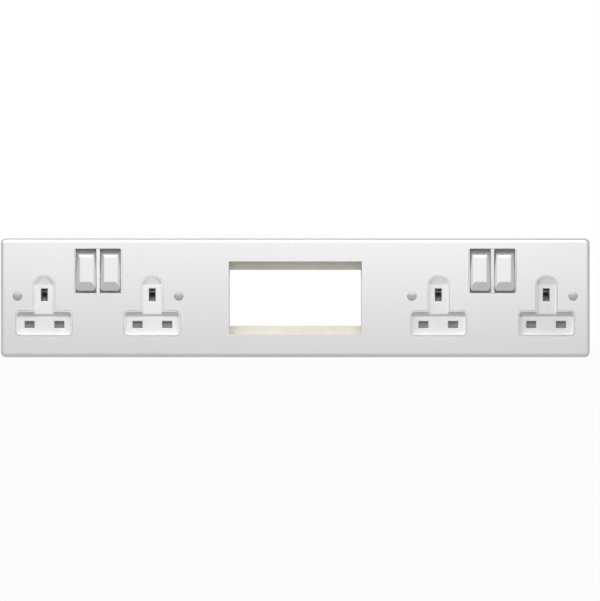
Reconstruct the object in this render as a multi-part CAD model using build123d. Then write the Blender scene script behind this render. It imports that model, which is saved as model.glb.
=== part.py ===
from build123d import *
import os

os.makedirs("parts", exist_ok=True)

# A long metal wall plate with two twin groups of switched three-pin outlets and an open
# module aperture between them. X runs along the plate, Z up, the front faces -Y, and the
# wall is the plane y = 0. Lengths are in millimetres, angles in degrees.

# Wall plate
plate_length = 441.0
plate_height = 89.0
plate_depth = 6.0
plate_sheet = 1.2
plate_corner = 4.0
edge_roll = 3.0
fixing_spacing = 120.6
fixing_rise = 1.3
group_inset = 73.0
outlet_spacing = 80.8

# Fixing screws
screw_radius = 1.75
screw_passage_radius = 3.2
screw_head_radius = 3.5
screw_head_proud = 0.5
screw_reach = 25.0
driver_slot = 1.0

# Pins of the plug that the outlets take
pin_pitch = 22.23
earth_rise = 2.1
earth_slot_width = 5.0
earth_slot_height = 9.4
side_slot_width = 7.4
side_slot_height = 5.2
slot_lead = 0.5

# Inverted T window of each outlet
stem_width = 16.5
crown_rise = 14.6
arch_drop = 4.9
foot_width = 42.6
foot_height = 19.0
foot_drop = 21.1
foot_corner = 3.5
eyelid_height = 6.7
stem_depth = 1.8
foot_eyelid = 4.4
foot_depth = 3.0
window_gap = 0.2
insert_set_back = 0.2

# Front moulding and rear cover
wall = 1.8
flange_lip = 3.5
flange_height = 76.0
flange_rise = 2.7
flange_thick = 2.2
boss_back = 1.2
body_end_room = 1.0
body_top_room = 0.6
body_corner = 2.5
lug_room = 6.5
parting_depth = 8.0
cover_depth = 20.0
cover_back_wall = 2.0

# Switches
switch_rise = 20.1
window_width = 35.9
window_height = 33.6
window_corner = 2.0
rocker_spacing = 18.2
rocker_turn = 14.0
pivot_depth = 3.0
cap_width = 15.0
cap_length = 31.4
cap_face_width = 8.6
cap_face_length = 20.1
cap_face_reach = 10.5
cap_end_slope = 3.2
cap_side_slope = 2.0
cap_crown = 0.15
cap_softness = 6.0
cap_skirt = 0.8
cap_wall = 1.0
cap_corner = 2.6
cap_side_gap = 0.35
carrier_width = 12.6
carrier_length = 26.0
carrier_gap = 0.5
trunnion_radius = 1.5
trunnion_length = 1.4
pivot_clearance = 0.08
well_wall = 2.0
tray_back = 1.0
plunger_radius = 1.5
plunger_clearance = 0.1
plunger_reach = 6.6
guide_tube_wall = 1.0

# Rocking contacts
contact_turn = 10.0
contact_axis_depth = 10.4
contact_length = 19.0
contact_width = 5.0
rivet_radius = 1.5
rivet_thick = 0.6
rivet_rise = 8.0
contact_bead = 0.7

# Brass strips, clips and terminals
brass = 0.8
strip_width = 5.0
live_plane = 12.9
rear_plane = 15.5
clip_mouth = 3.6
side_clip_start = 4.0
earth_clip_start = 7.5
terminal_width = 8.0
terminal_height = 9.0
terminal_drop = 12.0
terminal_spacing = 15.0
terminal_gap = 0.3
terminal_back = 28.0
cable_depth = 23.6
cable_radius = 2.1
terminal_screw_radius = 1.6
terminal_head_radius = 2.6
terminal_head_thick = 1.5
neutral_drop = 28.3
strip_gap = 0.4
live_turn_rise = 14.0

# Shutters
shutter_thick = 2.0
shutter_gap = 0.3
shutter_travel = 6.6
shutter_rim = 2.0
shutter_bar = 7.5
shutter_window = 7.0
shutter_crossbar = 2.0
shutter_overlap = 1.27
shutter_stem_width = 4.4
spring_slot_width = 7.0
spring_coil_radius = 1.4
spring_wire = 0.45
spring_turns = 5
guide_wall = 1.2
post_radius = 1.1

# Cover screws
cover_screw_radius = 1.4
cover_head_radius = 2.6
cover_head_thick = 1.5
boss_radius = 3.2
boss_side = 34.0
boss_rise = 30.5
boss_drop = 21.9

# Module aperture and its frame
aperture_width = 99.5
aperture_height = 54.5
frame_sheet = 1.2
frame_margin = 8.0
frame_depth = 10.8
frame_gap = 0.5
rail_opening = 42.0
stud_radius = 1.5
stud_inset = 4.0
nut_thick = 2.4
nut_size = 5.5

front = -plate_depth
web_back = front + plate_sheet
flange_back = web_back + flange_thick
insert_front = front + insert_set_back
boss_rear = -boss_back
cover_back = cover_depth
slot_drop = earth_rise - pin_pitch
group_spacing = plate_length - 2 * group_inset
rest_tilt = -rocker_turn / 2
outlet_offsets = (-outlet_spacing / 2, outlet_spacing / 2)
rocker_offsets = (-rocker_spacing / 2, rocker_spacing / 2)
groups = {"left": -group_spacing / 2, "right": group_spacing / 2}


def slab(face, y_front, y_back):
    """A drawing, X across and Z up, made solid between two depths."""
    return Pos(0, y_back, 0) * Rot(90, 0, 0) * extrude(face, y_back - y_front)


def bar(face, x_left, x_right):
    """A side profile, depth across and Z up, made solid between two places along X."""
    return Pos(x_left, 0, 0) * extrude(Plane.YZ * face, x_right - x_left)


def rod(radius, y_front, y_back):
    """A round rod along the depth."""
    return slab(Circle(radius), y_front, y_back)


def block(x_low, x_high, y_low, y_high, z_low, z_high):
    """A square-edged block between its corners."""
    middle = Pos((x_low + x_high) / 2, (y_low + y_high) / 2, (z_low + z_high) / 2)
    return middle * Box(x_high - x_low, y_high - y_low, z_high - z_low)


def stem_drawing(grow=0.0):
    """The upright of the T, with its arched crown."""
    half = stem_width / 2 + grow
    crown = earth_rise + crown_rise + grow
    spring = crown - arch_drop
    foot = earth_rise - foot_drop
    sides = Polyline((half, spring), (half, foot), (-half, foot), (-half, spring))
    arch = ThreePointArc((-half, spring), (0, crown), (half, spring))
    return make_face([sides, arch])


def foot_drawing(grow=0.0):
    """The wide foot of the T."""
    foot = RectangleRounded(foot_width + 2 * grow, foot_height + 2 * grow, foot_corner + grow)
    return Pos(0, earth_rise - foot_drop) * foot


def slots_drawing(grow=0.0):
    """The three pin slots of one outlet."""
    earth = Rectangle(earth_slot_width + 2 * grow, earth_slot_height + 2 * grow)
    side = Rectangle(side_slot_width + 2 * grow, side_slot_height + 2 * grow)
    sides = [Pos(x, slot_drop) * side for x in (-pin_pitch / 2, pin_pitch / 2)]
    return Pos(0, earth_rise) * earth + sides


def switch_window(grow=0.0):
    window = RectangleRounded(window_width + 2 * grow, window_height + 2 * grow, window_corner + grow)
    return Pos(0, switch_rise) * window


def body_length():
    """Length of the moulded body, which holds the shutters of both outlets."""
    shutter_side = shutter_half_width() + shutter_gap + guide_wall
    return outlet_spacing + 2 * (shutter_side + wall + body_end_room)


def body_low():
    """Underside of the body, just below the neutral strip."""
    return -neutral_drop - strip_width / 2 - strip_gap - wall


def body_high():
    """Top of the body, just above the bearings of the rockers."""
    return switch_rise + bearing_height() / 2 + body_top_room


def body_drawing(inset=0.0):
    """Outline of the moulded body, notched for the fixing lugs of the wall box."""
    high = body_high() - inset
    low = body_low() + inset
    outline = RectangleRounded(body_length() - 2 * inset, high - low, body_corner)
    outline = Pos(0, (high + low) / 2) * outline
    room = 2 * (lug_room + inset)
    notch = Rectangle(body_length() - fixing_spacing + room, room)
    for side in (-1, 1):
        outline -= Pos(side * body_length() / 2, fixing_rise) * notch
    return outline


# Front plate

def front_plate():
    """Pressed tray with rolled edges, its windows, countersunk holes and frame studs."""
    shell = slab(RectangleRounded(plate_length, plate_height, plate_corner), front, 0)
    shell = fillet(shell.faces().sort_by(Axis.Y)[0].edges(), edge_roll)
    inside = RectangleRounded(plate_length - 2 * plate_sheet, plate_height - 2 * plate_sheet,
                              plate_corner - plate_sheet)
    hollow = slab(inside, web_back, 0)
    hollow = fillet(hollow.faces().sort_by(Axis.Y)[0].edges(), edge_roll - plate_sheet)
    shell -= hollow
    for group_x in groups.values():
        for outlet_x in outlet_offsets:
            window = slab(stem_drawing() + foot_drawing(), front, web_back)
            shell -= Pos(group_x + outlet_x, 0, 0) * window
        shell -= Pos(group_x, 0, 0) * slab(switch_window(), front, web_back)
        for side in (-1, 1):
            hole_x = group_x + side * fixing_spacing / 2
            shell -= Pos(hole_x, 0, fixing_rise) * countersunk_hole()
    shell -= slab(Rectangle(aperture_width, aperture_height), front, web_back)
    for stud in frame_studs():
        shell += stud * rod(stud_radius, web_back, web_back + frame_sheet + nut_thick + 1)
    return shell


def countersunk_hole():
    mouth = screw_head_radius + 0.05
    profile = Polyline((0, front), (mouth, front), (mouth - plate_sheet, web_back), (0, web_back),
                       close=True)
    return revolve(make_face(profile), Axis.Y)


def frame_studs():
    """Places of the welded studs that carry the module frame."""
    across = aperture_width / 2 + frame_gap + frame_sheet + stud_inset
    up = aperture_height / 2 - stud_inset
    return [Pos(side_x * across, 0, side_z * up) for side_x in (-1, 1) for side_z in (-1, 1)]


def fixing_screw():
    """Slotted raised countersunk screw, its head in the plate and its end in the wall box."""
    sink = screw_head_radius - screw_radius
    sides = Polyline((screw_head_radius, front), (screw_radius, front + sink),
                     (screw_radius, front + screw_reach), (0, front + screw_reach),
                     (0, front - screw_head_proud))
    dome = ThreePointArc((0, front - screw_head_proud),
                         (screw_head_radius * 0.55, front - screw_head_proud * 0.7),
                         (screw_head_radius, front))
    screw = revolve(make_face([sides, dome]), Axis.Y)
    head_half = screw_head_radius + 1
    slot = block(-head_half, head_half, front - 1, front + 0.6, -driver_slot / 2, driver_slot / 2)
    return screw - slot


# Module frame

def module_frame():
    """Pressed pan behind the aperture: a flange on the plate and two rails for modules."""
    wide = aperture_width + 2 * frame_gap
    high = aperture_height + 2 * frame_gap
    flange_wide = wide + 2 * frame_sheet + 4 * stud_inset
    flange_high = high + 2 * frame_sheet + frame_margin
    pan_back = web_back + frame_depth
    frame = slab(RectangleRounded(flange_wide, flange_high, 2), web_back, web_back + frame_sheet)
    pan = RectangleRounded(wide + 2 * frame_sheet, high + 2 * frame_sheet, 2 * frame_sheet)
    frame += slab(pan, web_back, pan_back)
    frame -= slab(RectangleRounded(wide, high, frame_sheet), web_back, pan_back - frame_sheet)
    frame -= slab(Rectangle(wide - 2, rail_opening), web_back, pan_back)
    for stud in frame_studs():
        frame -= stud * rod(stud_radius + 0.2, web_back, web_back + frame_sheet)
    return frame


def frame_nuts():
    nut = slab(RegularPolygon(nut_size / 2, 6, major_radius=False) - Circle(stud_radius + 0.02),
               web_back + frame_sheet, web_back + frame_sheet + nut_thick)
    return Compound(children=[stud * nut for stud in frame_studs()])


# Front moulding

def front_moulding():
    """Insulating body of one twin group: outlet faces, slots and the two rocker wells."""
    flange = RectangleRounded(body_length() + 2 * flange_lip, flange_height, plate_corner)
    part = slab(Pos(0, flange_rise) * flange, web_back, flange_back)
    for outlet_x in outlet_offsets:
        boss = slab(stem_drawing(-window_gap) + foot_drawing(-window_gap), insert_front, boss_rear)
        part += Pos(outlet_x, 0, 0) * boss
    part += slab(body_drawing() - body_drawing(wall), flange_back, parting_depth)
    part += rocker_housing()
    for place in boss_places():
        part += place * rod(boss_radius, flange_back, parting_depth)
        part -= place * rod(cover_screw_radius + 0.05, flange_back + 1.5, parting_depth)
    for outlet_x in outlet_offsets:
        part -= Pos(outlet_x, 0, 0) * outlet_recess()
        part += Pos(outlet_x, 0, 0) * shutter_guides()
    part -= rocker_room()
    for side in (-1, 1):
        passage = rod(screw_passage_radius, web_back, flange_back)
        part -= Pos(side * fixing_spacing / 2, 0, fixing_rise) * passage
    return part


def outlet_recess():
    """Sloped eyelids and sunk floors of one outlet face, and its three slots."""
    crown = earth_rise + crown_rise
    foot_top = earth_rise - foot_drop + foot_height / 2
    stem_floor = front + stem_depth
    foot_floor = front + foot_depth
    ahead = front - 1
    stem_side = Polyline((ahead, crown), (insert_front, crown), (stem_floor, crown - eyelid_height),
                         (stem_floor, slot_drop), (ahead, slot_drop), close=True)
    foot_side = Polyline((ahead, foot_top), (insert_front, foot_top),
                         (foot_floor, foot_top - foot_eyelid),
                         (foot_floor, foot_top - foot_height), (ahead, foot_top - foot_height),
                         close=True)
    stem_cut = slab(stem_drawing(-1.0), ahead, stem_floor)
    foot_cut = slab(foot_drawing(-1.0), ahead, foot_floor)
    stem_cut &= bar(make_face(stem_side), -stem_width, stem_width)
    foot_cut &= bar(make_face(foot_side), -foot_width, foot_width)
    recess = stem_cut + foot_cut + slab(slots_drawing(), ahead, boss_rear)
    earth = Rectangle(earth_slot_width, earth_slot_height)
    side = Rectangle(side_slot_width, side_slot_height)
    recess += Pos(0, 0, earth_rise) * slot_lead_in(earth, stem_floor)
    for pin_x in (-pin_pitch / 2, pin_pitch / 2):
        recess += Pos(pin_x, 0, slot_drop) * slot_lead_in(side, foot_floor)
    return recess


def slot_lead_in(slot, floor):
    """The bevelled mouth of one slot."""
    mouth = Plane(origin=(0, floor, 0), x_dir=(1, 0, 0), z_dir=(0, -1, 0))
    throat = Plane(origin=(0, floor + slot_lead, 0), x_dir=(1, 0, 0), z_dir=(0, -1, 0))
    box = slot.bounding_box().size
    wide = Rectangle(box.X + 2 * slot_lead, box.Y + 2 * slot_lead)
    return loft([mouth * wide, throat * slot])


def shutter_guides():
    """Two rails beside the shutter and the ledge under its spring."""
    rail_x = shutter_half_width() + shutter_gap
    low = body_low() + wall
    high = shutter_top()
    back = shutter_front() + shutter_thick + shutter_gap
    rails = block(rail_x, rail_x + guide_wall, flange_back, back, low, high)
    rails += block(-rail_x - guide_wall, -rail_x, flange_back, back, low, high)
    ledge = block(-1.5 * spring_coil_radius, 1.5 * spring_coil_radius, boss_rear,
                  spring_axis() + spring_coil_radius, spring_low() - guide_wall, spring_low())
    return rails + ledge


def rocker_housing():
    """Tray around both rockers in front of the wall, and their bearing walls behind it."""
    tray_height = window_height + 2 * wall
    tray_width = window_width + 2 * wall
    tray = slab(Pos(0, switch_rise) * Rectangle(tray_width, tray_height), web_back, 0)
    ring = slab(switch_window(-window_gap), insert_front, web_back)
    outer = Rectangle(bearing_face() * 2 + 2 * well_wall, bearing_height())
    bearings = slab(Pos(0, switch_rise) * outer, -tray_back, parting_depth)
    return tray + ring + bearings


def rocker_room():
    """What the rockers swing in, with the bar and the bearing wall between them left standing."""
    swing = cap_width + 2 * cap_side_gap
    opening = Rectangle(rocker_spacing + swing, window_height - 2 * window_gap)
    opening -= Rectangle(rocker_spacing - swing, window_height)
    room = slab(Pos(0, switch_rise) * opening, front - 1, -tray_back)
    well = Rectangle(bearing_face() * 2, bearing_height() - 2 * wall)
    centre_wall = rocker_spacing - carrier_width - 2 * carrier_gap
    well -= Rectangle(centre_wall, bearing_height())
    room += slab(Pos(0, switch_rise) * well, -tray_back, parting_depth)
    bearing = Pos(0, pivot_depth, switch_rise) * Rot(0, 90, 0)
    long_enough = bearing_face() * 2 + 1.2 * well_wall
    room += bearing * Cylinder(trunnion_radius + pivot_clearance, long_enough)
    return room


def bearing_height():
    """Outer height of the bearing walls round both rockers."""
    return carrier_length + 6 * carrier_gap + 2 * wall


def bearing_face():
    """Inner face of the outer bearing wall, from the middle of the group."""
    return rocker_spacing / 2 + carrier_width / 2 + carrier_gap


def boss_places():
    """Places of the cover screws in one group."""
    return [Pos(-boss_side, 0, boss_rise), Pos(boss_side, 0, boss_rise), Pos(0, 0, -boss_drop)]


# Rear cover

def rear_cover():
    """Back half of the body, with terminal openings and posts that keep the shutters in."""
    inner_back = cover_back - cover_back_wall
    part = slab(body_drawing(), parting_depth, cover_back)
    part -= slab(body_drawing(wall), parting_depth, inner_back)
    for place in boss_places():
        part += place * rod(boss_radius, parting_depth, inner_back)
        part -= place * rod(cover_screw_radius + 0.2, parting_depth, cover_back)
        part -= place * rod(cover_head_radius + 0.2, cover_back - cover_head_thick, cover_back)
    for outlet_x in outlet_offsets:
        for post_x in (-post_offset(), post_offset()):
            post = rod(post_radius, shutter_front() + shutter_thick + shutter_gap, inner_back)
            part += Pos(outlet_x + post_x, 0, slot_drop + 2) * post
    for side in (-1, 1):
        riser_x, riser_top = live_route(side)[-2]
        rib_z = riser_top - strip_width - 2
        part += block(riser_x - 1.5, riser_x + 1.5, live_plane + brass, inner_back,
                      rib_z - 3, rib_z + 3)
    opening = Rectangle(terminal_width + 2 * terminal_gap, terminal_height + 2 * terminal_gap)
    for column in terminal_columns().values():
        part -= Pos(column, 0, -terminal_drop) * slab(opening, inner_back, cover_back)
    return part


def cover_screws():
    """Pan head screws from the back of the cover into the moulding's posts."""
    shank = rod(cover_screw_radius, flange_back + 4, cover_back - cover_head_thick)
    head = rod(cover_head_radius, cover_back - cover_head_thick, cover_back)
    slot = block(-cover_head_radius, cover_head_radius, cover_back - 0.7, cover_back, -0.4, 0.4)
    return Compound(children=[place * (shank + head - slot) for place in boss_places()])


# Rockers

def on_pivot(part, rocker_x, tilt):
    """Sets a piece drawn about the rocker pivot at its place, turned about that pivot."""
    return Pos(rocker_x, pivot_depth, switch_rise) * Rot(tilt, 0, 0) * part


def cap_section(base_width, face_width, slope, crown, inset):
    """Section across the cap: a flat face, soft shoulders and sloped sides."""
    face = -(cap_face_reach + crown - inset)
    edge = -(cap_face_reach - slope - inset / 2)
    half_base = base_width / 2 - inset
    half_face = face_width / 2 - inset / 2
    outline = Polyline((-half_base, cap_rim()), (-half_base, edge), (-half_face, face),
                       (half_face, face), (half_base, edge), (half_base, cap_rim()), close=True)
    section = make_face(outline)
    shoulders = section.vertices().sort_by(Axis.Y)[:2]
    return fillet(shoulders, cap_softness - inset)


def cap_rim():
    """Depth of the cap's rim from the pivot."""
    return cap_end_slope + cap_skirt - cap_face_reach


def cap_solid(inset):
    """The pillow form of the cap: rounded in plan, with sloped sides and ends."""
    plan = RectangleRounded(cap_width - 2 * inset, cap_length - 2 * inset, cap_corner - inset)
    form = slab(plan, -2 * cap_face_reach, cap_rim())
    ends = cap_section(cap_length, cap_face_length, cap_end_slope, 0, inset)
    form &= bar(Rot(0, 0, -90) * ends, -cap_width, cap_width)
    sides = cap_section(cap_width, cap_face_width, cap_side_slope, cap_crown, inset)
    form &= Pos(0, 0, -cap_length) * extrude(sides, 2 * cap_length)
    return form


def rocker_cap():
    """Thin plated cap, clipped over the rocker."""
    return cap_solid(0) - cap_solid(cap_wall)


def rocker():
    """Moulded rocker: a pad under the cap, cheeks with trunnions, and the plunger's tube."""
    pad_front = -(cap_face_reach - cap_wall)
    plate_front = cap_rim() - 0.4
    plate_rear = plate_front + 1.5
    pad = slab(Rectangle(cap_face_width - 4, cap_face_length - 5), pad_front, plate_rear)
    plate = slab(RectangleRounded(carrier_width, carrier_length, 1.5), plate_front, plate_rear)
    cheek = Pos(plate_front / 2, 0) * Rectangle(-plate_front, 6) + Circle(3)
    part = pad + plate
    for side in (-1, 1):
        outer = side * carrier_width / 2
        inner = outer - side * 1.5
        part += bar(cheek, min(inner, outer), max(inner, outer))
        low, high = min(outer, outer + side * trunnion_length), max(outer, outer + side * trunnion_length)
        part += bar(Circle(trunnion_radius), low, high)
    bore = plunger_radius + plunger_clearance
    part += rod(bore + guide_tube_wall, plate_rear, 3.6)
    return part - rod(bore, plate_rear + 1, 3.6)


def switch_plunger():
    """Sprung pin with a round nose, hollow for its spring."""
    nose = plunger_reach - plunger_radius
    pin = rod(plunger_radius, -1.5, nose) + Pos(0, nose, 0) * Sphere(plunger_radius)
    return pin - rod(plunger_radius - 0.6, -1.5, 2.5)


def switch_contact():
    """Rocking brass contact with a bead on its axis and a rivet on its upper arm."""
    strip = block(-contact_width / 2, contact_width / 2, -brass / 2, brass / 2,
                  -contact_length / 2, contact_length / 2)
    strip += Rot(0, 90, 0) * Cylinder(contact_bead, contact_width)
    return strip + Pos(0, 0, rivet_rise) * rod(rivet_radius, brass / 2, brass / 2 + rivet_thick)


# Strips, clips and terminals

def terminal_columns():
    return {"earth": -terminal_spacing, "live": 0.0, "neutral": terminal_spacing}


def cable_side(name):
    """The side a cable comes in from: up for neutral, where its strip comes from below."""
    return 1 if name == "neutral" else -1


def strip_path(points, depth):
    """Flat strip that runs square through its points."""
    ribbon = Sketch()
    for (x_from, z_from), (x_to, z_to) in zip(points, points[1:]):
        run = Rectangle(abs(x_to - x_from) + strip_width, abs(z_to - z_from) + strip_width)
        ribbon += Pos((x_from + x_to) / 2, (z_from + z_to) / 2) * run
    return slab(ribbon, depth, depth + brass)


def side_clip(clip_x, rear):
    """Two leaves over and under a side pin, with flared mouths, joined at the back."""
    inner = clip_mouth / 2
    outer = inner + brass
    flare = 1.0
    leaf = Polyline((side_clip_start, inner + flare), (side_clip_start + 2, inner),
                    (rear, inner), (rear, outer), (side_clip_start + 2, outer),
                    (side_clip_start, outer + flare), close=True)
    upper = make_face(leaf)
    leaves = upper + mirror(upper, Plane.XZ)
    web = Pos(rear + brass / 2, 0) * Rectangle(brass, 2 * outer)
    clip = bar(leaves + web, clip_x - 3.2, clip_x + 3.2)
    return Pos(0, 0, slot_drop) * clip


def earth_clip(clip_x):
    """Two leaves on either side of the earth pin, joined at the back."""
    inner = clip_mouth / 2
    outer = inner + brass
    low = earth_rise - 3.4
    high = earth_rise + 3.4
    clip = block(-outer, outer, earth_clip_start, rear_plane + brass, low, high)
    clip -= block(-inner, inner, earth_clip_start, rear_plane, low, high)
    return Pos(clip_x, 0, 0) * clip


def live_route(side):
    """Corners of the strip from a live clip to the fixed contact of its switch."""
    clip_x = side * outlet_spacing / 2 + pin_pitch / 2
    rocker_x = side * rocker_spacing / 2
    fixed_z = switch_rise + rivet_rise
    if side < 0:
        riser_x = clip_x + 4
        return [(clip_x, slot_drop), (riser_x, slot_drop), (riser_x, fixed_z), (rocker_x, fixed_z)]
    start_x = clip_x - 2.2
    turn_z = earth_rise + live_turn_rise
    riser_x = bearing_face() + well_wall + 3
    return [(clip_x, slot_drop), (start_x, slot_drop), (start_x, turn_z), (riser_x, turn_z),
            (riser_x, fixed_z), (rocker_x, fixed_z)]


def live_contact(side):
    """Live clip of one outlet with its strip up to the fixed contact of its switch."""
    route = live_route(side)
    clip_x = route[0][0]
    fixed_x, fixed_z = route[-1]
    part = side_clip(clip_x, live_plane) + strip_path(route, live_plane)
    rivet = rod(rivet_radius, live_plane - rivet_thick, live_plane)
    return part + Pos(fixed_x, 0, fixed_z) * rivet


def live_feed():
    """Strip from the live terminal up to the ridge on which both contacts rock."""
    half = rocker_spacing / 2 + contact_width / 2
    ridge_tip = contact_axis_depth + contact_bead + 0.1
    part = block(-half, half, live_plane, live_plane + brass,
                 switch_rise - strip_width / 2, switch_rise + strip_width / 2)
    ridge = Polyline((live_plane, -1.6), (ridge_tip, -0.15), (ridge_tip, 0.15), (live_plane, 1.6),
                     close=True)
    part += Pos(0, 0, switch_rise) * bar(make_face(ridge), -half, half)
    leg_low = -terminal_drop
    part += block(-strip_width / 2, strip_width / 2, live_plane, live_plane + brass, leg_low,
                  switch_rise)
    return part


def neutral_bar():
    """Strip along the bottom that joins both neutral clips and the neutral terminal."""
    left_x = -outlet_spacing / 2 - pin_pitch / 2
    right_x = outlet_spacing / 2 - pin_pitch / 2
    terminal_low = -terminal_drop - terminal_height / 2
    part = strip_path([(left_x, slot_drop), (left_x, -neutral_drop),
                       (right_x, -neutral_drop), (right_x, slot_drop)], rear_plane)
    column = terminal_spacing
    part += block(column - strip_width / 2, column + strip_width / 2, rear_plane,
                  rear_plane + brass, -neutral_drop, terminal_low)
    return part + side_clip(left_x, rear_plane) + side_clip(right_x, rear_plane)


def earth_bar():
    """Strip that joins both earth clips and the earth terminal."""
    reach = outlet_spacing / 2
    part = block(-reach, reach, rear_plane, rear_plane + brass,
                 earth_rise - strip_width / 2, earth_rise + strip_width / 2)
    column = -terminal_spacing
    part += block(column - strip_width / 2, column + strip_width / 2, rear_plane,
                  rear_plane + brass, -terminal_drop + terminal_height / 2, earth_rise)
    return part + earth_clip(-reach) + earth_clip(reach)


def terminal(name):
    """Brass block through the cover's back, with a blind cable bore behind it."""
    low = live_plane + brass
    body = block(-terminal_width / 2, terminal_width / 2, low, terminal_back,
                 -terminal_height / 2, terminal_height / 2)
    mouth = cable_side(name) * terminal_height / 2
    body -= Pos(0, cable_depth, mouth) * Cylinder(cable_radius, 2 * (terminal_height - 2))
    return body - rod(terminal_screw_radius + 0.05, cable_depth, terminal_back)


def terminal_screw():
    """Terminal screw, backed out until its tip clears the cable bore."""
    tip = cable_depth + cable_radius
    head_front = terminal_back + 0.8
    head_back = head_front + terminal_head_thick
    screw = rod(terminal_screw_radius, tip, head_front)
    screw += rod(terminal_head_radius, head_front, head_back)
    half = terminal_head_radius
    return screw - block(-half, half, head_back - 0.8, head_back, -0.4, 0.4)


# Shutters

def shutter_front():
    return boss_rear + shutter_gap


def shutter_half_width():
    return pin_pitch / 2 + side_slot_width / 2 + shutter_rim + 0.5


def shutter_low():
    return slot_drop - side_slot_height / 2 - shutter_overlap


def shutter_top():
    return shutter_low() + shutter_bar + shutter_window + shutter_crossbar


def post_offset():
    return spring_slot_width / 2 + post_radius + 0.3


def spring_axis():
    return shutter_front() + spring_coil_radius + spring_wire / 2 + 0.05


def spring_low():
    return shutter_low() - 0.3


def spring_high():
    return shutter_top() - shutter_crossbar - 1.5


def shutter():
    """Sliding shutter: two bars over the side slots and a ramp behind the earth slot."""
    low = shutter_low()
    top = shutter_top()
    half = shutter_half_width()
    y_low = shutter_front()
    y_high = y_low + shutter_thick
    part = block(-half, half, y_low, y_high, low, top)
    window_half = side_slot_width / 2 + 0.5
    for pin_x in (-pin_pitch / 2, pin_pitch / 2):
        window_low = low + shutter_bar
        part -= block(pin_x - window_half, pin_x + window_half, y_low, y_high,
                      window_low, window_low + shutter_window)
    slot_half = spring_slot_width / 2
    part -= block(-slot_half, slot_half, y_low, y_high, low, spring_high())
    pin_low = earth_rise - earth_slot_height / 2
    rise = shutter_travel
    ramp = Polyline((y_low, top - 1), (y_low, pin_low), (y_low + rise, pin_low + rise),
                    (y_low + rise, pin_low + rise - 2.8), (y_high, pin_low - 1.2),
                    (y_high, top - 1), close=True)
    stem_half = shutter_stem_width / 2
    return part + bar(make_face(ramp), -stem_half, stem_half)


def shutter_spring():
    """Coil of square wire between the moulding's ledge and the shutter's cross-bar."""
    length = spring_high() - spring_low() - spring_wire - 0.1
    coil_path = Helix(length / spring_turns, length, spring_coil_radius)
    end = Plane(origin=coil_path @ 0, z_dir=coil_path % 0)
    coil = sweep(end * Rectangle(spring_wire, spring_wire), path=coil_path, is_frenet=True)
    return Pos(0, spring_axis(), spring_low() + spring_wire / 2 + 0.05) * coil


# Assembly

export_step(front_plate(), "parts/front_plate.step")
export_step(module_frame(), "parts/module_frame.step")
export_step(frame_nuts(), "parts/module_frame_nuts.step")

screws = []
for group_x in groups.values():
    for side in (-1, 1):
        screws.append(Pos(group_x + side * fixing_spacing / 2, 0, fixing_rise) * fixing_screw())
export_step(Compound(children=screws), "parts/fixing_screws.step")

outlet = 0
for name, group_x in groups.items():
    place = Pos(group_x, 0, 0)
    export_step(place * front_moulding(), f"parts/{name}_front_moulding.step")
    export_step(place * rear_cover(), f"parts/{name}_rear_cover.step")
    export_step(place * cover_screws(), f"parts/{name}_cover_screws.step")
    export_step(place * live_feed(), f"parts/{name}_live_feed.step")
    export_step(place * neutral_bar(), f"parts/{name}_neutral_bar.step")
    export_step(place * earth_bar(), f"parts/{name}_earth_bar.step")
    for row, column in terminal_columns().items():
        at_terminal = place * Pos(column, 0, -terminal_drop)
        export_step(at_terminal * terminal(row), f"parts/{name}_{row}_terminal.step")
    terminal_screws = [
        place * Pos(column, 0, -terminal_drop) * terminal_screw()
        for column in terminal_columns().values()
    ]
    export_step(Compound(children=terminal_screws), f"parts/{name}_terminal_screws.step")
    for side, outlet_x, rocker_x in zip((-1, 1), outlet_offsets, rocker_offsets):
        outlet += 1
        export_step(place * on_pivot(rocker(), rocker_x, rest_tilt), f"parts/rocker_{outlet}.step")
        export_step(place * on_pivot(rocker_cap(), rocker_x, rest_tilt),
                    f"parts/rocker_cap_{outlet}.step")
        export_step(place * on_pivot(switch_plunger(), rocker_x, rest_tilt),
                    f"parts/switch_plunger_{outlet}.step")
        rocking = Pos(rocker_x, contact_axis_depth, switch_rise) * Rot(contact_turn / 2, 0, 0)
        export_step(place * rocking * switch_contact(), f"parts/switch_contact_{outlet}.step")
        export_step(place * live_contact(side), f"parts/live_contact_{outlet}.step")
        at_outlet = place * Pos(outlet_x, 0, 0)
        export_step(at_outlet * shutter(), f"parts/shutter_{outlet}.step")
        export_step(at_outlet * shutter_spring(), f"parts/shutter_spring_{outlet}.step")
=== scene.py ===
import math

import bpy
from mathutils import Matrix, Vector


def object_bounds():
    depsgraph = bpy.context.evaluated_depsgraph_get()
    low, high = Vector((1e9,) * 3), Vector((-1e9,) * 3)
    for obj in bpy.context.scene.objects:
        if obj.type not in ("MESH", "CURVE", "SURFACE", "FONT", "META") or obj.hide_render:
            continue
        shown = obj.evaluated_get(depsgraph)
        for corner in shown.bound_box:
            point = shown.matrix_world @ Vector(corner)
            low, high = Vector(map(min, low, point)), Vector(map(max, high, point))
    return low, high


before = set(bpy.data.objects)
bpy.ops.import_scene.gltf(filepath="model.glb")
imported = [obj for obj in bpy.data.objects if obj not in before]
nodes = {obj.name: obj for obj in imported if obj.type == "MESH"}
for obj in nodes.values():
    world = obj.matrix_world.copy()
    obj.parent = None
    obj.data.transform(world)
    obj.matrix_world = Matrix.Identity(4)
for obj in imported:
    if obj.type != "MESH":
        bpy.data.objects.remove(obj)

cad_low, cad_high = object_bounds()


# Wall plate
# One long pressing of thin stainless steel with rolled edges, windows punched for the outlets,
# switches and data modules. It is brushed along its length and left bright satin.

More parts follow.
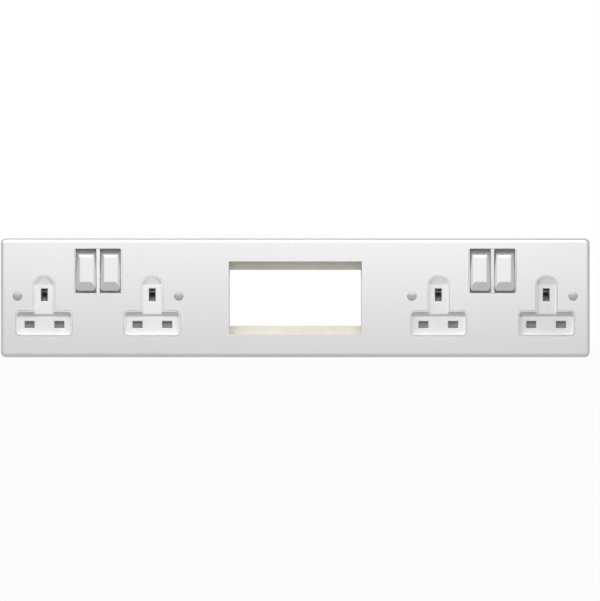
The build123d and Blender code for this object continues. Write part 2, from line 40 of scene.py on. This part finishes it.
def new_group(name, inputs, outputs):
    """An empty shader group with named sockets, and its inner input and output nodes."""
    group = bpy.data.node_groups.new(name, "ShaderNodeTree")
    for label, kind, value in inputs:
        socket = group.interface.new_socket(label, in_out="INPUT", socket_type=kind)
        socket.default_value = value
    for label, kind in outputs:
        group.interface.new_socket(label, in_out="OUTPUT", socket_type=kind)
    entry = group.nodes.new("NodeGroupInput")
    leave = group.nodes.new("NodeGroupOutput")
    return group, entry, leave


def place_stretched(group, entry, along, across):
    """Object coordinates squeezed so that a noise runs in streaks along X."""
    where = group.nodes.new("ShaderNodeTexCoord")
    scale = group.nodes.new("ShaderNodeCombineXYZ")
    stretch = group.nodes.new("ShaderNodeVectorMath")
    stretch.operation = "MULTIPLY"
    group.links.new(entry.outputs[along], scale.inputs["X"])
    group.links.new(entry.outputs[across], scale.inputs["Y"])
    group.links.new(entry.outputs[across], scale.inputs["Z"])
    group.links.new(where.outputs["Object"], stretch.inputs[0])
    group.links.new(scale.outputs["Vector"], stretch.inputs[1])
    return stretch.outputs["Vector"]


def brushed_grain_group():
    """Streaks left by a brush along X, with broad soft haze over them."""
    group, entry, leave = new_group(
        "brushed_grain",
        [("Along", "NodeSocketFloat", 60.0), ("Across", "NodeSocketFloat", 5200.0),
         ("Haze Scale", "NodeSocketFloat", 14.0), ("Dark", "NodeSocketColor", (0.6, 0.6, 0.6, 1)),
         ("Bright", "NodeSocketColor", (0.8, 0.8, 0.8, 1)),
         ("Rough Low", "NodeSocketFloat", 0.3), ("Rough High", "NodeSocketFloat", 0.4)],
        [("Color", "NodeSocketColor"), ("Roughness", "NodeSocketFloat"),
         ("Height", "NodeSocketFloat")])
    streak_place = place_stretched(group, entry, "Along", "Across")
    streak = group.nodes.new("ShaderNodeTexNoise")
    streak.inputs["Scale"].default_value = 1.0
    streak.inputs["Detail"].default_value = 5.0
    streak.inputs["Roughness"].default_value = 0.7
    group.links.new(streak_place, streak.inputs["Vector"])
    where = group.nodes.new("ShaderNodeTexCoord")
    haze = group.nodes.new("ShaderNodeTexNoise")
    haze.inputs["Detail"].default_value = 3.0
    group.links.new(where.outputs["Object"], haze.inputs["Vector"])
    group.links.new(entry.outputs["Haze Scale"], haze.inputs["Scale"])
    blend = group.nodes.new("ShaderNodeMath")
    blend.operation = "MULTIPLY_ADD"
    blend.inputs[1].default_value = 0.35
    group.links.new(haze.outputs["Fac"], blend.inputs[0])
    spread = group.nodes.new("ShaderNodeMath")
    spread.operation = "MULTIPLY"
    spread.inputs[1].default_value = 0.65
    group.links.new(streak.outputs["Fac"], spread.inputs[0])
    group.links.new(spread.outputs[0], blend.inputs[2])
    tint = group.nodes.new("ShaderNodeMix")
    tint.data_type = "RGBA"
    group.links.new(blend.outputs[0], tint.inputs["Factor"])
    group.links.new(entry.outputs["Dark"], tint.inputs["A"])
    group.links.new(entry.outputs["Bright"], tint.inputs["B"])
    rough = group.nodes.new("ShaderNodeMix")
    rough.data_type = "FLOAT"
    group.links.new(blend.outputs[0], rough.inputs["Factor"])
    group.links.new(entry.outputs["Rough Low"], rough.inputs["A"])
    group.links.new(entry.outputs["Rough High"], rough.inputs["B"])
    group.links.new(tint.outputs["Result"], leave.inputs["Color"])
    group.links.new(rough.outputs["Result"], leave.inputs["Roughness"])
    group.links.new(streak.outputs["Fac"], leave.inputs["Height"])
    return group


brushed_grain = brushed_grain_group()


def new_material(name, metallic, bump_strength, bump_distance):
    """A material with its shader and bump, and nothing yet on them."""
    material = bpy.data.materials.new(name)
    material.use_nodes = True
    tree = material.node_tree
    shader = tree.nodes["Principled BSDF"]
    shader.inputs["Metallic"].default_value = metallic
    bump = tree.nodes.new("ShaderNodeBump")
    bump.inputs["Strength"].default_value = bump_strength
    bump.inputs["Distance"].default_value = bump_distance
    tree.links.new(bump.outputs["Normal"], shader.inputs["Normal"])
    return material, tree, shader, bump


def add_effect(tree, shader, bump, group, **values):
    """Places a shared effect in a material and joins its outputs to the shader."""
    effect = tree.nodes.new("ShaderNodeGroup")
    effect.node_tree = group
    for label, value in values.items():
        effect.inputs[label.replace("_", " ")].default_value = value
    tree.links.new(effect.outputs["Color"], shader.inputs["Base Color"])
    tree.links.new(effect.outputs["Roughness"], shader.inputs["Roughness"])
    tree.links.new(effect.outputs["Height"], bump.inputs["Height"])
    return effect


def brushed_metal(name, dark, bright, rough_low, rough_high, along=60.0, across=5200.0):
    """A brushed or rolled metal finish."""
    material, tree, shader, bump = new_material(name, 1.0, 0.25, 0.00002)
    add_effect(tree, shader, bump, brushed_grain, Along=along, Across=across,
               Dark=(*dark, 1), Bright=(*bright, 1), Rough_Low=rough_low, Rough_High=rough_high)
    return material


def finish_node(node, material):
    """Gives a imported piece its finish."""
    piece = nodes[node]
    piece.data.materials.clear()
    piece.data.materials.append(material)


plate_steel = brushed_metal("plate_steel", (0.485, 0.488, 0.486), (0.545, 0.548, 0.546), 0.36, 0.44)
plate_shader = plate_steel.node_tree.nodes["Principled BSDF"]
plate_shader.inputs["Anisotropic"].default_value = 0.3
brush_way = plate_steel.node_tree.nodes.new("ShaderNodeTangent")
brush_way.direction_type = "RADIAL"
brush_way.axis = "X"
plate_steel.node_tree.links.new(brush_way.outputs["Tangent"], plate_shader.inputs["Tangent"])
finish_node("front_plate", plate_steel)


# Fixing screws
# Four raised countersunk machine screws, zinc plated, that pull the plate onto the wall boxes.
# Each is turned and rolled from one piece of wire, with a single driver slot and a rolled thread.

wave_turn = 2 * math.pi / 20
thread_pitch = 0.0006
thread_start = -0.0035


def add_thread(material, pitch, start):
    """Rolls a thread of a given pitch into a metal along the depth, from behind the heads on."""
    tree = material.node_tree
    plain_bump = tree.nodes["Bump"]
    where = tree.nodes.new("ShaderNodeTexCoord")
    turns = tree.nodes.new("ShaderNodeTexWave")
    turns.bands_direction = "Y"
    turns.inputs["Scale"].default_value = wave_turn / pitch
    tree.links.new(where.outputs["Object"], turns.inputs["Vector"])
    split = tree.nodes.new("ShaderNodeSeparateXYZ")
    tree.links.new(where.outputs["Object"], split.inputs["Vector"])
    behind = tree.nodes.new("ShaderNodeMath")
    behind.operation = "GREATER_THAN"
    behind.inputs[1].default_value = start
    tree.links.new(split.outputs["Y"], behind.inputs[0])
    thread = tree.nodes.new("ShaderNodeBump")
    thread.inputs["Distance"].default_value = pitch / 2
    tree.links.new(behind.outputs[0], thread.inputs["Strength"])
    tree.links.new(turns.outputs["Fac"], thread.inputs["Height"])
    tree.links.new(plain_bump.outputs["Normal"], thread.inputs["Normal"])
    shader = tree.nodes["Principled BSDF"]
    tree.links.new(thread.outputs["Normal"], shader.inputs["Normal"])


def screw_metal(name):
    """Dull zinc plating, cloudy and with no direction to its grain."""
    return brushed_metal(name, (0.28, 0.28, 0.285), (0.4, 0.4, 0.405), 0.26, 0.42,
                         along=900.0, across=900.0)


screw_steel = screw_metal("screw_steel")
threaded_steel = screw_metal("threaded_steel")
add_thread(threaded_steel, thread_pitch, thread_start)
finish_node("fixing_screws", threaded_steel)


# Module frame
# A pan pressed from dull yellow-passivated steel behind the middle opening, whose rails hold
# clip-in modules. Welded studs and four nuts keep it on the plate.

frame_zinc = brushed_metal("frame_zinc", (0.6, 0.565, 0.49), (0.78, 0.75, 0.68), 0.4, 0.55,
                           along=90.0, across=120.0)
frame_zinc.node_tree.nodes["Principled BSDF"].inputs["Metallic"].default_value = 0.3
finish_node("module_frame", frame_zinc)
finish_node("module_frame_nuts", screw_steel)


# Front mouldings
# One glossy white moulding for each twin group: it carries the outlet faces with their sloped
# recesses, and the bearings of both rockers, and is held under the plate.

def moulded_skin_group():
    """The faint grain of a moulded surface, and a soft change of tone across it."""
    group, entry, leave = new_group(
        "moulded_skin",
        [("Grain Scale", "NodeSocketFloat", 4200.0), ("Tone Scale", "NodeSocketFloat", 55.0),
         ("Dark", "NodeSocketColor", (0.7, 0.7, 0.7, 1)),
         ("Bright", "NodeSocketColor", (0.8, 0.8, 0.8, 1)),
         ("Rough Low", "NodeSocketFloat", 0.2), ("Rough High", "NodeSocketFloat", 0.3)],
        [("Color", "NodeSocketColor"), ("Roughness", "NodeSocketFloat"),
         ("Height", "NodeSocketFloat")])
    where = group.nodes.new("ShaderNodeTexCoord")
    grain = group.nodes.new("ShaderNodeTexNoise")
    grain.inputs["Detail"].default_value = 2.0
    tone = group.nodes.new("ShaderNodeTexNoise")
    tone.inputs["Detail"].default_value = 2.0
    for noise, label in ((grain, "Grain Scale"), (tone, "Tone Scale")):
        group.links.new(where.outputs["Object"], noise.inputs["Vector"])
        group.links.new(entry.outputs[label], noise.inputs["Scale"])
    tint = group.nodes.new("ShaderNodeMix")
    tint.data_type = "RGBA"
    group.links.new(tone.outputs["Fac"], tint.inputs["Factor"])
    group.links.new(entry.outputs["Dark"], tint.inputs["A"])
    group.links.new(entry.outputs["Bright"], tint.inputs["B"])
    rough = group.nodes.new("ShaderNodeMix")
    rough.data_type = "FLOAT"
    group.links.new(tone.outputs["Fac"], rough.inputs["Factor"])
    group.links.new(entry.outputs["Rough Low"], rough.inputs["A"])
    group.links.new(entry.outputs["Rough High"], rough.inputs["B"])
    group.links.new(tint.outputs["Result"], leave.inputs["Color"])
    group.links.new(rough.outputs["Result"], leave.inputs["Roughness"])
    group.links.new(grain.outputs["Fac"], leave.inputs["Height"])
    return group


moulded_skin = moulded_skin_group()


def moulded_plastic(name, dark, bright, rough_low, rough_high, grain_strength):
    """A plain moulded plastic."""
    material, tree, shader, bump = new_material(name, 0.0, grain_strength, 0.00003)
    add_effect(tree, shader, bump, moulded_skin, Dark=(*dark, 1), Bright=(*bright, 1),
               Rough_Low=rough_low, Rough_High=rough_high)
    return material


insert_white = moulded_plastic("insert_white", (0.87, 0.88, 0.89), (0.91, 0.92, 0.93),
                               0.22, 0.32, 0.05)
for group in ("left", "right"):
    finish_node(f"{group}_front_moulding", insert_white)


# Rockers
# Each switch is a moulded rocker on two trunnions under a thin satin-plated cap, with a sprung
# round-nosed plunger in its tube that snaps the contact over.

cap_plate = brushed_metal("cap_plate", (0.48, 0.485, 0.493), (0.513, 0.518, 0.527), 0.15, 0.21,
                          along=700.0, across=700.0)
rocker_plastic = moulded_plastic("rocker_plastic", (0.76, 0.76, 0.75), (0.84, 0.84, 0.83),
                                 0.35, 0.5, 0.15)
for outlet in range(1, 5):
    finish_node(f"rocker_cap_{outlet}", cap_plate)
    finish_node(f"rocker_{outlet}", rocker_plastic)
    finish_node(f"switch_plunger_{outlet}", rocker_plastic)


# Contacts, bars and terminals
# All the current-carrying pieces are stamped from brass strip or cut from brass bar, and lie
# sealed between the moulding and the cover. The terminals show at the back.

contact_brass = brushed_metal("contact_brass", (0.46, 0.37, 0.23), (0.62, 0.52, 0.34), 0.28, 0.44,
                              along=160.0, across=2600.0)
for group in ("left", "right"):
    for piece in ("live_feed", "neutral_bar", "earth_bar", "live_terminal", "neutral_terminal",
                  "earth_terminal"):
        finish_node(f"{group}_{piece}", contact_brass)
    finish_node(f"{group}_terminal_screws", screw_steel)
for outlet in range(1, 5):
    finish_node(f"live_contact_{outlet}", contact_brass)
    finish_node(f"switch_contact_{outlet}", contact_brass)


# Shutters
# A sliding shutter behind each outlet face closes the two side slots; its dark grey is painted
# shade that makes the slots read dark. The earth pin pushes its ramp down, and a small steel coil
# lifts it again.

spring_steel = brushed_metal("spring_steel", (0.4, 0.41, 0.43), (0.62, 0.63, 0.65), 0.2, 0.35,
                             along=500.0, across=500.0)
# The dark grey here is painted shade inside the slots, not the shutter plastic's own colour.
shutter_grey = moulded_plastic("shutter_grey", (0.2, 0.205, 0.21), (0.25, 0.255, 0.26),
                               0.4, 0.5, 0.1)
for outlet in range(1, 5):
    finish_node(f"shutter_{outlet}", shutter_grey)
    finish_node(f"shutter_spring_{outlet}", spring_steel)


# Rear covers
# Each group is closed at the back by a plain off-white cover, screwed to the posts of the
# front moulding, with openings over the terminals.

cover_white = moulded_plastic("cover_white", (0.74, 0.73, 0.7), (0.82, 0.81, 0.78),
                              0.42, 0.55, 0.3)
for group in ("left", "right"):
    finish_node(f"{group}_rear_cover", cover_white)
    finish_node(f"{group}_cover_screws", screw_steel)


# Studio
# A plain pale floor a little below the plate, and a nearly even surround as in a large white tent.
# A soft lamp hangs close above the plate, and the metal mirrors a white panel whose lower edge
# gives its fall-off. The camera looks straight at the plate.

pixels_per_mm = 1.337
photo_width, photo_height = 600, 601
photo_middle = (295.3, 297.85)


def background_share(tree, share):
    """How much of the plain white background a ray sees: from the camera, in metal and in glass."""
    path = tree.nodes.new("ShaderNodeLightPath")
    seen = path.outputs["Is Camera Ray"]
    for kind in ("Is Glossy Ray", "Is Transmission Ray"):
        either = tree.nodes.new("ShaderNodeMath")
        either.operation = "MAXIMUM"
        tree.links.new(seen, either.inputs[0])
        tree.links.new(path.outputs[kind], either.inputs[1])
        seen = either.outputs[0]
    scaled = tree.nodes.new("ShaderNodeMath")
    scaled.operation = "MULTIPLY"
    scaled.inputs[1].default_value = share
    tree.links.new(seen, scaled.inputs[0])
    return scaled.outputs[0]


world = bpy.data.worlds.new("white_surround")
bpy.context.scene.world = world
world.use_nodes = True
sky = world.node_tree
tent = sky.nodes["Background"]
tent.inputs["Color"].default_value = (0.97, 0.985, 1.0, 1)
where = sky.nodes.new("ShaderNodeTexCoord")
toward = sky.nodes.new("ShaderNodeVectorMath")
toward.operation = "DOT_PRODUCT"
toward.inputs[1].default_value = (-0.37, -0.93, 0.0)
sky.links.new(where.outputs["Generated"], toward.inputs[0])
fall_off = sky.nodes.new("ShaderNodeMapRange")
fall_off.interpolation_type = "SMOOTHSTEP"
fall_off.inputs["From Min"].default_value = -0.1
fall_off.inputs["From Max"].default_value = 0.95
fall_off.inputs["To Min"].default_value = 0.29
fall_off.inputs["To Max"].default_value = 0.33
sky.links.new(toward.outputs["Value"], fall_off.inputs["Value"])
sky.links.new(fall_off.outputs["Result"], tent.inputs["Strength"])
plain_white = sky.nodes.new("ShaderNodeBackground")
plain_white.inputs["Color"].default_value = (1, 1, 1, 1)
choice = sky.nodes.new("ShaderNodeMixShader")
sky.links.new(background_share(sky, 1.0), choice.inputs["Fac"])
sky.links.new(tent.outputs[0], choice.inputs[1])
sky.links.new(plain_white.outputs[0], choice.inputs[2])
sky.links.new(choice.outputs[0], sky.nodes["World Output"].inputs["Surface"])

floor_drop = 0.03
floor_reach = 3.0
floor_mesh = bpy.data.meshes.new("pale_floor")
floor_level = cad_low.z - floor_drop
corners = [(-floor_reach, -floor_reach), (floor_reach, -floor_reach), (floor_reach, floor_reach),
           (-floor_reach, floor_reach)]
floor_mesh.from_pydata([(x, y, floor_level) for x, y in corners], [], [(0, 1, 2, 3)])
pale_floor = bpy.data.objects.new("pale_floor", floor_mesh)
bpy.context.collection.objects.link(pale_floor)
floor_paint = bpy.data.materials.new("floor_paint")
floor_paint.use_nodes = True
floor_tree = floor_paint.node_tree
paint = floor_tree.nodes["Principled BSDF"]
paint.inputs["Base Color"].default_value = (0.3, 0.3, 0.3, 1)
paint.inputs["Roughness"].default_value = 0.9
floor_white = floor_tree.nodes.new("ShaderNodeEmission")
floor_white.inputs["Color"].default_value = (1, 1, 1, 1)
floor_choice = floor_tree.nodes.new("ShaderNodeMixShader")
floor_tree.links.new(background_share(floor_tree, 0.96), floor_choice.inputs["Fac"])
floor_tree.links.new(paint.outputs[0], floor_choice.inputs[1])
floor_tree.links.new(floor_white.outputs[0], floor_choice.inputs[2])
floor_tree.links.new(floor_choice.outputs[0], floor_tree.nodes["Material Output"].inputs["Surface"])
floor_mesh.materials.append(floor_paint)


def soft_lamp(name, place, target, width, height, power):
    """A plain rectangular lamp at a place, facing a target."""
    data = bpy.data.lights.new(name, "AREA")
    data.shape = "RECTANGLE"
    data.size = width
    data.size_y = height
    data.energy = power
    lamp = bpy.data.objects.new(name, data)
    bpy.context.collection.objects.link(lamp)
    lamp.location = place
    direction = Vector(target) - Vector(place)
    lamp.rotation_euler = direction.to_track_quat("-Z", "Y").to_euler()
    return lamp


soft_lamp("key_lamp", (-0.07, -0.25, 0.27), (-0.03, 0.0, 0.02), 0.7, 0.12, 1.77)
sheen_panel = soft_lamp("sheen_panel", (0.0, -0.30, 0.165), (0.0, 0.0, 0.165), 0.95, 0.38, 0.75)
sheen_panel.visible_diffuse = False
sheen_panel.visible_camera = False

camera_data = bpy.data.cameras.new("photo_camera")
camera = bpy.data.objects.new("photo_camera", camera_data)
bpy.context.collection.objects.link(camera)
bpy.context.scene.camera = camera
camera_distance = 2.5
plate_front = -0.006
view_span = max(photo_width, photo_height) / pixels_per_mm / 1000
camera_data.sensor_width = 36
camera_data.lens = camera_data.sensor_width * camera_distance / view_span
across = (photo_width / 2 - photo_middle[0]) / pixels_per_mm / 1000
down = (photo_height / 2 - photo_middle[1]) / pixels_per_mm / 1000
camera.location = (across, plate_front - camera_distance, -down)
camera.rotation_euler = (math.radians(90), 0, 0)
bpy.context.scene.view_settings.view_transform = "Standard"
